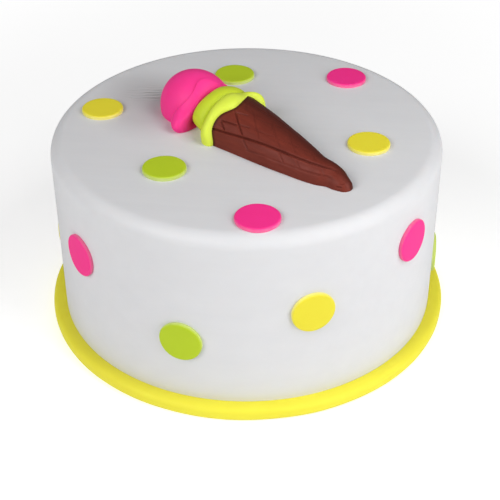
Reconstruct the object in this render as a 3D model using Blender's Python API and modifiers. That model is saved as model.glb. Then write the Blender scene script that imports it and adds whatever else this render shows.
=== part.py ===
"""Round fondant cake with flat sugar dots and an ice cream of sugar paste laid on top.

Metres, +Z up. The origin is at the middle of the underside, and -Y is the front.
The cake is one uncut solid. A rolled band of yellow paste runs round its foot, dots lie on
its top and on its wall, and the ice cream is a chocolate cone with a lime and a pink scoop.
"""

import math

import bmesh
import bpy
from mathutils import Vector

# Driving dimensions of the cake and of the band round its foot
CAKE_RADIUS = 0.128
CAKE_HEIGHT = 0.1319
CAKE_EDGE = 0.009
CAKE_EDGE_STEPS = 6
BAND_WIDTH = 0.0092
BAND_HEIGHT = 0.0096
BAND_AT_WALL = 0.0088
BAND_LEDGE = 0.0042
BAND_SQUARE = 2.8
BAND_PRESS = 0.0004
BAND_SIDES = 12
TURN_STEPS = 96

# The space kept between two pieces that touch, and the distance under which points are one
REST_GAP = 0.0003
MERGE = 0.00001

# The dots: one cutter made them all. An edge that turns by more than DOT_CORNER is a rim.
DOT_RADIUS = 0.0139
DOT_THICKNESS = 0.0022
DOT_EDGE = 0.0004
DOT_CORNER = math.radians(60.0)
TOP_DOT_SIDES = 32
WALL_DOT_SIDES = 28

# The dots on the top, (x, y), and round the wall, by their angle from the front and their height
TOP_DOTS = {
    "dot_top_yellow_left": (-0.0966, 0.0259),
    "dot_top_lime_left": (-0.0508, -0.0517),
    "dot_top_pink_front": (0.0064, -0.1077),
    "dot_top_yellow_right": (0.0780, -0.0226),
    "dot_top_pink_right": (0.0701, 0.0699),
    "dot_top_lime_back": (-0.0083, 0.0756),
}
WALL_DOTS = {
    "dot_wall_pink_left": (-54.0, 0.0845),
    "dot_wall_lime_front": (-18.4, 0.0530),
    "dot_wall_yellow_front": (17.9, 0.0753),
    "dot_wall_pink_right": (52.5, 0.0964),
    "dot_wall_lime_right": (87.6, 0.0370),
    "dot_wall_yellow_right": (124.0, 0.0820),
    "dot_wall_pink_back": (160.5, 0.0560),
    "dot_wall_lime_back": (196.0, 0.0880),
    "dot_wall_pink_far": (232.0, 0.0600),
    "dot_wall_yellow_left": (265.0, 0.0510),
}

# The ice cream lies along a line over the cake's top. Along it x is 0 at the cone's mouth
# and grows towards the cone's tip. Round it, a side of 0 degrees is the front foot of a
# lump, 90 is its top and 180 is its back foot. A wavy edge is written as a plain size and
# its swells, and each swell as its size, its side and its width in degrees.
MOUTH = (-0.0086, -0.0013)
LIE_ANGLE = -48.0
COLUMNS = 64
COLUMN_STEP = 360.0 / COLUMNS

# The cone: half round, flat underneath, with a blunt tip pinched aside. A station is a
# distance from the mouth and the half width there, or how far the middle line bends aside.
CONE_LENGTH = 0.1041
CONE_WIDTHS = ((0.0, 0.02460), (0.0253, 0.02084), (0.0400, 0.01839), (0.0530, 0.01617), (0.0660, 0.01359),
               (0.0760, 0.01150), (0.0850, 0.01018), (0.0910, 0.00831), (0.0960, 0.00693), (0.1005, 0.00511),
               (CONE_LENGTH, 0.00371))
CONE_BENDS = ((0.0, 0.0), (0.0253, 0.00015), (0.0400, -0.00018), (0.0660, -0.00024), (0.0760, -0.00029),
              (0.0850, 0.00114), (0.0910, 0.00248), (0.0960, 0.00188), (0.1005, 0.00167),
              (CONE_LENGTH, 0.00167))
CONE_RISE = (0.93, 1.13)
CONE_SQUARE = 2.2
CONE_KNOB = 0.0780
CONE_ROWS = (1, 15, 10, 4)
TIP_ROUND = 0.0030

# The cone's seam: at each distance from the mouth, how far up the skin it lies from the front foot
SEAM = ((0.0, 0.0107), (0.0150, 0.0116), (0.0250, 0.0124), (0.0350, 0.0131), (0.0450, 0.0134),
        (0.0550, 0.0132), (0.0650, 0.0128), (0.0860, 0.0126), (0.0940, 0.0118))
SEAM_WIDTH = 0.0011
SEAM_DEPTH = 0.0007
SEAM_COLUMN = 45.0

# The lime scoop: a fat roll behind the cone's mouth, and a wavy frill folded over the mouth
MEETING = -0.0184
LIME_END = 0.0205
LIME_RISE = 1.09
LIME_CREASE = -0.0045
LIME_FOOT = 0.0212
LIME_ROLL = (0.0038, ((-0.0040, 0.0, 14.0), (-0.0010, 108.0, 22.0), (-0.0030, 180.0, 14.0)))
LIME_TUCK = (0.0, ((0.0060, 0.0, 16.0), (0.0022, 72.0, 27.0), (0.0050, 180.0, 15.0)))
FRILL_REACH = (0.0039, ((0.0048, 78.0, 20.0), (0.0032, 2.0, 17.0), (-0.0036, 122.0, 13.0),
                        (0.0020, 145.0, 12.0), (0.0030, 180.0, 25.0)))
FRILL_BULGE = (0.0040, ((0.0018, 14.0, 14.0), (-0.0026, 110.0, 17.0), (0.0022, 142.0, 12.0)))
LIME_ROWS = (2, 7, 9, 3, 2)

# The pink scoop: a ball with a wavy lip rolled out of its lower edge. The lip starts at a
# crease, stands out of the ball, and ends in a flat face next to the lime scoop. At its
# front foot that face is undercut.
BALL_RADII = (0.0256, 0.0230, 0.0242)
BALL_PLACE = (-0.0356, -0.0014, 0.0045)
LIP_CREASE = (0.0231, ((0.0040, 82.0, 20.0), (0.0082, 0.0, 32.0), (-0.0034, 114.0, 13.0),
                       (0.0050, 180.0, 30.0)))
LIP_BULGE = (0.0016, ((0.0012, 84.0, 26.0), (0.0074, 0.0, 20.0), (0.0030, 180.0, 25.0)))
LIP_LEAN = (1.1, ((0.5, 0.0, 22.0),))
LIP_FULLNESS = 0.7
LIP_SHORT = (0.0, ((-0.0005, 0.0, 14.0), (0.0020, 180.0, 20.0)))
LIP_FACE = (0.74, 0.68)
LIP_FACE_TURN = (75.0, 120.0)
LIP_FOOT = (0.0, ((0.20, 0.0, 14.0), (-0.04, 74.0, 24.0)))
UNDERCUT = (0.0, ((0.0036, 0.0, 14.0),))
UNDERCUT_FACE = 0.55
PINK_ROWS = (12, 10, 1, 1, 1)

WHITE = (0.80, 0.80, 0.81)
YELLOW = (0.90, 0.80, 0.06)
LIME = (0.52, 0.68, 0.05)
PINK = (0.90, 0.05, 0.25)
CHOCOLATE = (0.145, 0.035, 0.022)


def clear_scene():
    for thing in list(bpy.data.objects):
        bpy.data.objects.remove(thing, do_unlink=True)


def paste(name, colour, roughness=0.5):
    """Sugar paste of one colour."""
    material = bpy.data.materials.new(name)
    material.use_nodes = True
    shader = material.node_tree.nodes["Principled BSDF"]
    shader.inputs["Base Color"].default_value = (*colour, 1.0)
    shader.inputs["Roughness"].default_value = roughness
    shader.inputs["Metallic"].default_value = 0.0
    material.diffuse_color = (*colour, 1.0)
    return material


def add_piece(name, bm, material, collection, sharp_angle):
    """Turn a finished bmesh into one named sub-part."""
    mesh = bpy.data.meshes.new(name)
    bm.to_mesh(mesh)
    bm.free()
    mesh.materials.append(material)
    mesh.shade_smooth()
    mesh.set_sharp_from_angle(angle=math.radians(sharp_angle))
    piece = bpy.data.objects.new(name, mesh)
    collection.objects.link(piece)
    return piece


def mix(a, b, share):
    return a + (b - a) * share


def clamp(value, low=0.0, high=1.0):
    return min(high, max(low, value))


def squared(value, square):
    """A coordinate of a unit circle moved out to that of a squarer oval; 2 leaves the circle."""
    return math.copysign(abs(value) ** (2.0 / square), value)


def waved(form, side):
    """A wavy size at one side: its plain size and its swells."""
    plain, swells = form
    return plain + sum(size * math.exp(-((side - place) / width) ** 2) for size, place, width in swells)


def arc(centre, radius, start, stop, steps):
    """Points of an arc, with the angles in degrees from +X towards +Z."""
    points = []
    for i in range(steps + 1):
        angle = math.radians(mix(start, stop, i / steps))
        points.append((centre[0] + radius * math.cos(angle), centre[1] + radius * math.sin(angle)))
    return points


def turned(name, profile, closed, material, collection):
    """A profile at +X, turned once about Z with a Screw modifier."""
    edges = [(i, i + 1) for i in range(len(profile) - 1)]
    if closed:
        edges.append((len(profile) - 1, 0))
    mesh = bpy.data.meshes.new(name)
    mesh.from_pydata([(x, 0.0, z) for x, z in profile], edges, [])
    mesh.materials.append(material)
    piece = bpy.data.objects.new(name, mesh)
    collection.objects.link(piece)
    screw = piece.modifiers.new("turn", 'SCREW')
    screw.steps = TURN_STEPS
    screw.render_steps = TURN_STEPS
    screw.use_merge_vertices = True
    screw.merge_threshold = MERGE
    screw.use_smooth_shade = True
    return piece


def make_cake(collection):
    """The covered cake: a drum whose top edge is softly rounded."""
    corner = (CAKE_RADIUS - CAKE_EDGE, CAKE_HEIGHT - CAKE_EDGE)
    edge = arc(corner, CAKE_EDGE, 90.0, 0.0, CAKE_EDGE_STEPS)
    profile = [(0.0, CAKE_HEIGHT), *edge, (CAKE_RADIUS, 0.0), (0.0, 0.0)]
    return turned("cake", profile, False, paste("white fondant", WHITE), collection)


def make_band(collection):
    """The rolled band round the foot: a round outer side, pressed flat underneath and at the wall."""
    inner = CAKE_RADIUS + REST_GAP
    half = (BAND_WIDTH - BAND_LEDGE, (BAND_HEIGHT + BAND_PRESS) / 2)
    middle = (inner + BAND_LEDGE, half[1] - BAND_PRESS)
    profile = [(inner, BAND_AT_WALL)]
    for x, z in arc((0.0, 0.0), 1.0, 90.0, -90.0, BAND_SIDES):
        x, z = squared(x, BAND_SQUARE), squared(z, BAND_SQUARE)
        profile.append((middle[0] + half[0] * x, max(0.0, middle[1] + half[1] * z)))
    profile.append((inner, 0.0))
    return turned("band", profile, True, paste("yellow fondant", YELLOW), collection)


def soften_rim(bm, segments):
    """Round over the outer rim of a disc's upper face."""
    rim = [e for e in bm.edges if len(e.link_faces) == 2 and e.calc_face_angle() > DOT_CORNER
           and min(v.co.z for v in e.verts) > DOT_THICKNESS / 2]
    bmesh.ops.bevel(bm, geom=rim, offset=DOT_EDGE, offset_type='OFFSET', affect='EDGES',
                    segments=segments, profile=0.5, material=-1)


def make_top_dot(name, place, material, collection):
    """A disc lying on the top of the cake."""
    bm = bmesh.new()
    bmesh.ops.create_cone(bm, cap_ends=True, segments=TOP_DOT_SIDES, radius1=DOT_RADIUS,
                          radius2=DOT_RADIUS, depth=DOT_THICKNESS)
    bmesh.ops.translate(bm, verts=bm.verts, vec=(0.0, 0.0, DOT_THICKNESS / 2))
    soften_rim(bm, 2)
    dot = add_piece(name, bm, material, collection, 40.0)
    dot.location = (place[0], place[1], CAKE_HEIGHT + REST_GAP)
    return dot


def make_wall_dot(name, angle, height, material, collection):
    """A disc bent to the wall, at an angle in degrees round from the front towards +X."""
    bm = bmesh.new()
    bmesh.ops.create_circle(bm, cap_ends=True, cap_tris=True, segments=WALL_DOT_SIDES, radius=DOT_RADIUS)
    spokes = [e for e in bm.edges if not e.is_boundary]
    bmesh.ops.subdivide_edges(bm, edges=spokes, cuts=1)
    raised = bmesh.ops.extrude_face_region(bm, geom=list(bm.faces), use_keep_orig=True)
    upper = [v for v in raised["geom"] if isinstance(v, bmesh.types.BMVert)]
    bmesh.ops.translate(bm, verts=upper, vec=(0.0, 0.0, DOT_THICKNESS))
    bmesh.ops.recalc_face_normals(bm, faces=bm.faces)
    soften_rim(bm, 1)
    for vert in bm.verts:
        across = vert.co.x / CAKE_RADIUS
        out = CAKE_RADIUS + REST_GAP + vert.co.z
        vert.co = Vector((out * math.sin(across), -out * math.cos(across), vert.co.y))
    bmesh.ops.recalc_face_normals(bm, faces=bm.faces)
    dot = add_piece(name, bm, material, collection, 40.0)
    dot.location = (0.0, 0.0, height)
    dot.rotation_euler = (0.0, 0.0, math.radians(angle))
    return dot


def make_dots(collection):
    """All the dots. The third word of a dot's name is its colour."""
    pastes = {
        "yellow": paste("yellow dot paste", YELLOW),
        "lime": paste("lime dot paste", LIME),
        "pink": paste("pink dot paste", PINK),
    }
    for name, place in TOP_DOTS.items():
        make_top_dot(name, place, pastes[name.split("_")[2]], collection)
    for name, (angle, height) in WALL_DOTS.items():
        make_wall_dot(name, angle, height, pastes[name.split("_")[2]], collection)


def roll(start, end, bulge, share):
    """A point of a rounded roll between two foot points (x, r) that stands out by bulge."""
    along = (1.0 - math.cos(math.pi * share)) / 2
    return mix(start[0], end[0], along), mix(start[1], end[1], along) + bulge * math.sin(math.pi * share)


def stretch(share, rows):
    """Which stretch of rows a share of them all falls in, and how far along that stretch."""
    place = share * sum(rows)
    for number, count in enumerate(rows):
        if place <= count or number == len(rows) - 1:
            return number, place / count
        place -= count


def modelled(name, surface, rows, material, collection):
    """A hand-shaped lump that lies along x, with its underside flat.

    It starts as a sphere. surface(share, side) says where each point goes: share runs from 0
    at one end of the lump to 1 at the other, and side goes round it in degrees.
    """
    bm = bmesh.new()
    bmesh.ops.create_uvsphere(bm, u_segments=COLUMNS, v_segments=sum(rows), radius=1.0)
    for vert in bm.verts:
        share = math.acos(clamp(vert.co.z, -1.0, 1.0)) / math.pi
        side = math.degrees(math.atan2(vert.co.y, vert.co.x))
        vert.co = surface(share, side)
    geometry = [*bm.verts, *bm.edges, *bm.faces]
    bmesh.ops.bisect_plane(bm, geom=geometry, dist=MERGE, plane_co=(0.0, 0.0, 0.0),
                           plane_no=(0.0, 0.0, -1.0), clear_outer=True)
    bmesh.ops.remove_doubles(bm, verts=bm.verts, dist=MERGE)
    bmesh.ops.holes_fill(bm, edges=[e for e in bm.edges if e.is_boundary], sides=0)
    bmesh.ops.recalc_face_normals(bm, faces=bm.faces)
    return add_piece(name, bm, material, collection, 60.0)


def smooth_stations(x, stations):
    """The value at x of a smooth line through the stations. Before the first it runs on straight."""
    if x <= stations[0][0]:
        (low, first), (high, second) = stations[0], stations[1]
        return mix(first, second, (x - low) / (high - low))
    last = len(stations) - 1
    number = next((i for i in range(last) if x <= stations[i + 1][0]), last - 1)
    (low, first), (high, second) = stations[number], stations[number + 1]
    slopes = []
    for i in (number, number + 1):
        before, after = stations[max(0, i - 1)], stations[min(last, i + 1)]
        slopes.append((after[1] - before[1]) / (after[0] - before[0]) * (high - low))
    share = clamp((x - low) / (high - low))
    square, cube = share ** 2, share ** 3
    return ((2 * cube - 3 * square + 1) * first + (cube - 2 * square + share) * slopes[0]
            + (3 * square - 2 * cube) * second + (cube - square) * slopes[1])


def cone_surface(x, side, spare=0.0, shrink=1.0):
    """A point of the cone's skin at x, pushed out by spare and shrunk towards the middle line."""
    half = (smooth_stations(x, CONE_WIDTHS) + spare) * shrink
    rise = half * mix(CONE_RISE[0], CONE_RISE[1], max(x, 0.0) / CONE_LENGTH)
    turn = math.radians(side)
    across = squared(math.cos(turn), CONE_SQUARE)
    up = squared(math.sin(turn), CONE_SQUARE)
    return Vector((x, smooth_stations(x, CONE_BENDS) - half * across, rise * up))


def beside_seam(x, side):
    """The columns of points moved so that one lies in the seam and its neighbours at its edges.

    It gives the side that the column moves to, and how deep the seam is there.
    """
    if side < 0.0:
        return side, 0.0
    half = smooth_stations(x, CONE_WIDTHS)
    seam = math.degrees(smooth_stations(x, SEAM) / half)
    edge = math.degrees(SEAM_WIDTH / half)
    columns_off = (side - SEAM_COLUMN) / COLUMN_STEP
    if abs(columns_off) < 1.01:
        depth = SEAM_DEPTH * clamp(1.0 - abs(columns_off)) * (x < SEAM[-1][0])
        return seam + edge * columns_off, depth
    if columns_off < 0.0:
        return (seam - edge) * side / (SEAM_COLUMN - COLUMN_STEP), 0.0
    left = (180.0 - side) / (180.0 - SEAM_COLUMN - COLUMN_STEP)
    return 180.0 - (180.0 - seam - edge) * left, 0.0


def cone_skin(share, side):
    """The cone: its mouth, its length with the seam, and its rounded tip."""
    number, part = stretch(share, CONE_ROWS)
    if number == 0:
        return cone_surface(0.0, side, 0.0, part)
    straight = CONE_LENGTH - TIP_ROUND
    if number == 1:
        x, shrink = CONE_KNOB * part, 1.0
    elif number == 2:
        x, shrink = mix(CONE_KNOB, straight, part), 1.0
    else:
        turn = math.pi / 2 * part
        x, shrink = straight + TIP_ROUND * math.sin(turn), math.cos(turn)
    side, depth = beside_seam(x, side)
    return cone_surface(x, side, -depth, shrink)


def lime_skin(share, side):
    """The lime scoop: its flat end, the roll, the frill, the frill's inner side and its hollow."""
    turn = math.radians(side)
    bare = abs(side)
    flat = LIME_END - waved(LIME_TUCK, bare)
    reach = waved(FRILL_REACH, bare)

    def ring(x, r):
        return Vector((x, -r * math.cos(turn), r * LIME_RISE * math.sin(turn)))

    number, part = stretch(share, LIME_ROWS)
    if number == 0:
        return ring(MEETING + REST_GAP, flat * part)
    if number == 1:
        return ring(*roll((MEETING + REST_GAP, flat), (LIME_CREASE, LIME_FOOT), waved(LIME_ROLL, bare), part))
    if number == 2:
        crease = ring(LIME_CREASE, LIME_FOOT)
        edge = cone_surface(reach, side, REST_GAP)
        point = crease.lerp(edge, (1.0 - math.cos(math.pi * part)) / 2)
        outwards = Vector((0.0, point.y, point.z)).normalized()
        return point + outwards * waved(FRILL_BULGE, bare) * math.sin(math.pi * part)
    if number == 3:
        return cone_surface(mix(reach, -REST_GAP, part), side, REST_GAP)
    return cone_surface(-REST_GAP, side, REST_GAP, 1.0 - part)


def pink_skin(share, side):
    """The pink scoop: the ball, the lip and its flat end."""
    turn = math.radians(side)
    bare = abs(side)
    crease = -waved(LIP_CREASE, bare)
    crease_turn = math.acos((BALL_PLACE[0] - crease) / BALL_RADII[0])
    end = MEETING - waved(LIP_SHORT, bare)
    behind = clamp((bare - LIP_FACE_TURN[0]) / (LIP_FACE_TURN[1] - LIP_FACE_TURN[0]))
    face = mix(LIP_FACE[0], LIP_FACE[1], behind) + waved(LIP_FOOT, bare)
    under, neck = end - waved(UNDERCUT, bare), face * UNDERCUT_FACE
    bulge = 0.0
    number, part = stretch(share, PINK_ROWS)
    if number == 0:
        x = BALL_PLACE[0] - BALL_RADII[0] * math.cos(crease_turn * part)
        size = math.sin(crease_turn * part)
    elif number == 1:
        x, size = roll((crease, math.sin(crease_turn)), (end, face), 0.0, part)
        swell = clamp(math.sin(math.pi * part ** waved(LIP_LEAN, bare))) ** LIP_FULLNESS
        bulge = waved(LIP_BULGE, bare) * swell
    elif number == 2:
        x, size = mix(end, under, part), mix(face, neck, part)
    elif number == 3:
        x, size = mix(under, MEETING, part), mix(neck, UNDERCUT_FACE * LIP_FACE[1], part)
    else:
        x, size = MEETING, UNDERCUT_FACE * LIP_FACE[1] * (1.0 - part)
    across = BALL_RADII[1] * size + bulge
    up = BALL_RADII[2] * size + bulge
    return Vector((x, BALL_PLACE[1] - across * math.cos(turn), BALL_PLACE[2] + up * math.sin(turn)))


def make_ice_cream(collection):
    """The cone and its two scoops, laid on the cake together."""
    place = bpy.data.objects.new("ice_cream_place", None)
    collection.objects.link(place)
    place.location = (MOUTH[0], MOUTH[1], CAKE_HEIGHT + REST_GAP)
    place.rotation_euler = (0.0, 0.0, math.radians(LIE_ANGLE))
    cone = modelled("cone", cone_skin, CONE_ROWS, paste("chocolate paste", CHOCOLATE), collection)
    lime = modelled("scoop_lime", lime_skin, LIME_ROWS, paste("lime scoop paste", LIME), collection)
    pink = modelled("scoop_pink", pink_skin, PINK_ROWS, paste("pink scoop paste", PINK), collection)
    for piece in (cone, lime, pink):
        piece.parent = place


def main():
    clear_scene()
    collection = bpy.data.collections.new("fondant_cake")
    bpy.context.scene.collection.children.link(collection)
    make_cake(collection)
    make_band(collection)
    make_dots(collection)
    make_ice_cream(collection)


main()
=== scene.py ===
import math

import bmesh
import bpy
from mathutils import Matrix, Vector, noise


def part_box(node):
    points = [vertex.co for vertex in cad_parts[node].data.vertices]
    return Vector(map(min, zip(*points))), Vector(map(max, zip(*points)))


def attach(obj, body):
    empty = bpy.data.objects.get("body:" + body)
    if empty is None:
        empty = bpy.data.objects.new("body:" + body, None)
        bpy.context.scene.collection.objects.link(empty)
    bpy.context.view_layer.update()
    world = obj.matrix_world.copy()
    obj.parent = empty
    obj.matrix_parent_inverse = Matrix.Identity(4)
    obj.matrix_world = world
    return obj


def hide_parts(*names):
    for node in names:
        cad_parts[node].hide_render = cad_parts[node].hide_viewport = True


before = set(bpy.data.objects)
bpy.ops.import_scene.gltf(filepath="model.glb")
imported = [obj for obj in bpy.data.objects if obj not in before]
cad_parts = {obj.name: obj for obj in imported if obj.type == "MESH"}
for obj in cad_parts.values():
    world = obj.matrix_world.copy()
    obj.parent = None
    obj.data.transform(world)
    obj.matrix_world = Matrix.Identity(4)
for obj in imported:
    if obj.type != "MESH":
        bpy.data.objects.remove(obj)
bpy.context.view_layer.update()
scene = bpy.context.scene

# THE VIEW
# The camera stands in front of the cake and looks down on it by 35 degrees. Its place and
# lens come from the ovals that the cake's top, its foot and its dots make in the photograph.
VIEW_PLACE = (0.001889, -0.670940, 0.505760)
VIEW_DOWN = math.radians(35.0760)
VIEW_ROLL = math.radians(-0.2989)
LENS_MM = 84.088
SENSOR_MM = 36.0
NEAREST_SEEN = 0.01

view = bpy.data.objects.new("view", bpy.data.cameras.new("view"))
scene.collection.objects.link(view)
view.location = VIEW_PLACE
view.rotation_mode = 'ZYX'
view.rotation_euler = (math.pi / 2 - VIEW_DOWN, 0.0, VIEW_ROLL)
view.data.lens = LENS_MM
view.data.sensor_width = SENSOR_MM
view.data.clip_start = NEAREST_SEEN
scene.camera = view

# THE COVERED CAKE
# Filled sponge under a skin of white sugar paste some 5 mm thick, rolled out in one sheet,
# laid over and rubbed smooth by hand. Its top edge is soft, and its faces are a little uneven.
cake_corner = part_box("cake")[1]
CAKE_RADIUS = cake_corner.x
CAKE_HEIGHT = cake_corner.z
CAKE_EDGE = 0.009
CAKE_TURNS = 384
CAKE_TOP_RINGS = 44
CAKE_EDGE_RINGS = 14
CAKE_WALL_RINGS = 44
MERGE = 0.00001
SHARP_ANGLE = math.radians(60.0)

# The unevenness: how deep the skin dips at most, and how wide a swell of it is. Each piece has
# a seed, so that it takes its swells from a place of its own in the noise.
CAKE_DIP = 0.00018
CAKE_DIP_SPAN = 0.055
CAKE_SEED = 0.0
DIP_SWING = 0.9
SEED_SKEW = 1.7
SEED_RISE = 3.1


def mix(a, b, share):
    return a + (b - a) * share


def clamp(value, low=0.0, high=1.0):
    return min(high, max(low, value))


def arc(centre, radii, start, stop, steps):
    """Points of an oval arc, with the angles in degrees from +X towards +Z."""
    points = []
    for i in range(steps + 1):
        angle = math.radians(mix(start, stop, i / steps))
        points.append((centre[0] + radii[0] * math.cos(angle), centre[1] + radii[1] * math.sin(angle)))
    return points


def turned(profile, steps, closed=False):
    """A bmesh of a profile of (distance from the axis, height) points, spun once about Z."""
    bm = bmesh.new()
    verts = [bm.verts.new((x, 0.0, z)) for x, z in profile]
    pairs = list(zip(verts, verts[1:]))
    if closed:
        pairs.append((verts[-1], verts[0]))
    edges = [bm.edges.new(pair) for pair in pairs]
    bmesh.ops.spin(bm, geom=[*verts, *edges], cent=(0.0, 0.0, 0.0), axis=(0.0, 0.0, 1.0),
                   angle=2.0 * math.pi, steps=steps, use_merge=True)
    bmesh.ops.remove_doubles(bm, verts=bm.verts, dist=MERGE)
    bmesh.ops.recalc_face_normals(bm, faces=bm.faces)
    return bm


def dip(point, span, seed):
    """How deep a hand-smoothed face lies at a point, from 0 to 1, in soft swells of that span."""
    return clamp(0.5 + DIP_SWING * noise.noise(point / span + Vector((seed, seed * SEED_SKEW, SEED_RISE))))


def finished(bm, name, material):
    """A bmesh made a piece of the object that rides on its only body."""
    mesh = bpy.data.meshes.new(name)
    bm.to_mesh(mesh)
    bm.free()
    mesh.materials.append(material)
    mesh.shade_smooth()
    mesh.set_sharp_from_angle(angle=SHARP_ANGLE)
    piece = bpy.data.objects.new(name, mesh)
    scene.collection.objects.link(piece)
    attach(piece, "root")
    return piece


def socket(group, name, kind, way):
    group.interface.new_socket(name=name, in_out=way, socket_type=kind)


def math_node(nodes, links, operation, first, second):
    """A Math node whose inputs are sockets or plain numbers."""
    node = nodes.new('ShaderNodeMath')
    node.operation = operation
    for slot, value in enumerate((first, second)):
        if isinstance(value, (int, float)):
            node.inputs[slot].default_value = value
        else:
            links.new(value, node.inputs[slot])
    return node.outputs[0]


def noise_node(nodes, links, place, scale, detail=2.0, roughness=0.5):
    """A Noise Texture at a place, giving about 0.5 on average."""
    node = nodes.new('ShaderNodeTexNoise')
    node.inputs["Scale"].default_value = scale
    node.inputs["Detail"].default_value = detail
    node.inputs["Roughness"].default_value = roughness
    links.new(place, node.inputs["Vector"])
    return node.outputs["Fac"]


# The paste's patterns, each as a noise's scale, detail and roughness. The streaks' scale is
# set by their own spacing.
MOTTLE_NOISE = (55.0, 3.0, 0.55)
STREAK_NOISE = (1.0, 4.0, 0.6)
GRAIN_NOISE = (1400.0, 2.0, 0.6)

# How much of the darker shade plain paste holds, how much rougher the darker shade is, and
# the relief of the mottling and of the streaks in millimetres
PLAIN_SHADE = 0.35
SHADE_ROUGHNESS = 0.12
MOTTLE_RELIEF = 0.05
STREAK_RELIEF = 0.05


def sugar_paste_group():
    """The look that every sugar paste here shares.

    Soft mottling where the paste is thicker or dusted, long streaks from the smoother, and a
    fine grain. It puts out the colour, the roughness and a height in millimetres.
    """
    group = bpy.data.node_groups.new("sugar paste", 'ShaderNodeTree')
    socket(group, "Colour", 'NodeSocketColor', 'INPUT')
    socket(group, "Shade", 'NodeSocketColor', 'INPUT')
    socket(group, "Mottle", 'NodeSocketFloat', 'INPUT')
    socket(group, "Streaks", 'NodeSocketFloat', 'INPUT')
    socket(group, "Streak Turn", 'NodeSocketVector', 'INPUT')
    socket(group, "Streak Spacing", 'NodeSocketVector', 'INPUT')
    socket(group, "Grain", 'NodeSocketFloat', 'INPUT')
    socket(group, "Roughness", 'NodeSocketFloat', 'INPUT')
    socket(group, "Colour", 'NodeSocketColor', 'OUTPUT')
    socket(group, "Roughness", 'NodeSocketFloat', 'OUTPUT')
    socket(group, "Height", 'NodeSocketFloat', 'OUTPUT')
    nodes, links = group.nodes, group.links
    given = nodes.new('NodeGroupInput')
    out = nodes.new('NodeGroupOutput')
    place = nodes.new('ShaderNodeTexCoord').outputs["Object"]

    mottle = noise_node(nodes, links, place, *MOTTLE_NOISE)
    turned_place = nodes.new('ShaderNodeMapping')
    links.new(given.outputs["Streak Turn"], turned_place.inputs["Rotation"])
    links.new(place, turned_place.inputs["Vector"])
    stretched = nodes.new('ShaderNodeVectorMath')
    stretched.operation = 'MULTIPLY'
    links.new(turned_place.outputs[0], stretched.inputs[0])
    links.new(given.outputs["Streak Spacing"], stretched.inputs[1])
    streak = noise_node(nodes, links, stretched.outputs[0], *STREAK_NOISE)
    grain = noise_node(nodes, links, place, *GRAIN_NOISE)

    mottle_off = math_node(nodes, links, 'SUBTRACT', mottle, 0.5)
    streak_off = math_node(nodes, links, 'SUBTRACT', streak, 0.5)
    mottle_part = math_node(nodes, links, 'MULTIPLY', mottle_off, given.outputs["Mottle"])
    streak_part = math_node(nodes, links, 'MULTIPLY', streak_off, given.outputs["Streaks"])
    shade = math_node(nodes, links, 'ADD', mottle_part, streak_part)
    shade = math_node(nodes, links, 'ADD', shade, PLAIN_SHADE)
    blend = nodes.new('ShaderNodeMix')
    blend.data_type = 'RGBA'
    blend.clamp_factor = True
    links.new(shade, blend.inputs["Factor"])
    links.new(given.outputs["Colour"], blend.inputs[6])
    links.new(given.outputs["Shade"], blend.inputs[7])
    links.new(blend.outputs[2], out.inputs["Colour"])

    rough = math_node(nodes, links, 'MULTIPLY', shade, SHADE_ROUGHNESS)
    rough = math_node(nodes, links, 'ADD', rough, given.outputs["Roughness"])
    links.new(rough, out.inputs["Roughness"])

    low = math_node(nodes, links, 'MULTIPLY', mottle, MOTTLE_RELIEF)
    fine = math_node(nodes, links, 'MULTIPLY', grain, given.outputs["Grain"])
    wiped = math_node(nodes, links, 'MULTIPLY', streak_part, STREAK_RELIEF)
    height = math_node(nodes, links, 'ADD', low, fine)
    links.new(math_node(nodes, links, 'ADD', height, wiped), out.inputs["Height"])
    return group


sugar_paste = sugar_paste_group()

# The turn and the spacing of the streaks that the smoother leaves, and a millimetre in metres
SMOOTHER_STREAKS = ((0.0, 0.0, math.radians(7.0)), (14.0, 150.0, 110.0))
MILLIMETRE = 0.001


def paste(name, colour, shade, roughness, mottle, streaks, grain, gloss, subsurface=0.0,
          radius=(1.0, 0.6, 0.4), streak_run=SMOOTHER_STREAKS):
    """A material of sugar paste. The subsurface radius is in millimetres."""
    material = bpy.data.materials.new(name)
    material.use_nodes = True
    nodes, links = material.node_tree.nodes, material.node_tree.links
    shader = nodes["Principled BSDF"]
    look = nodes.new('ShaderNodeGroup')
    look.node_tree = sugar_paste
    look.inputs["Colour"].default_value = (*colour, 1.0)
    look.inputs["Shade"].default_value = (*shade, 1.0)
    look.inputs["Mottle"].default_value = mottle
    look.inputs["Streaks"].default_value = streaks
    look.inputs["Streak Turn"].default_value = streak_run[0]
    look.inputs["Streak Spacing"].default_value = streak_run[1]
    look.inputs["Grain"].default_value = grain
    look.inputs["Roughness"].default_value = roughness
    bump = nodes.new('ShaderNodeBump')
    bump.inputs["Distance"].default_value = MILLIMETRE
    bump.inputs["Strength"].default_value = 1.0
    links.new(look.outputs["Colour"], shader.inputs["Base Color"])
    links.new(look.outputs["Roughness"], shader.inputs["Roughness"])
    links.new(look.outputs["Height"], bump.inputs["Height"])
    links.new(bump.outputs["Normal"], shader.inputs["Normal"])
    shader.inputs["Subsurface Weight"].default_value = subsurface
    shader.inputs["Subsurface Radius"].default_value = radius
    shader.inputs["Subsurface Scale"].default_value = MILLIMETRE
    shader.inputs["Specular IOR Level"].default_value = gloss
    return material


white_paste = paste("white sugar paste", (0.700, 0.700, 0.713), (0.643, 0.643, 0.661), roughness=0.46,
                    mottle=0.5, streaks=0.7, grain=0.012, gloss=0.3, subsurface=0.15, radius=(3.0, 2.2, 1.8))

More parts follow.
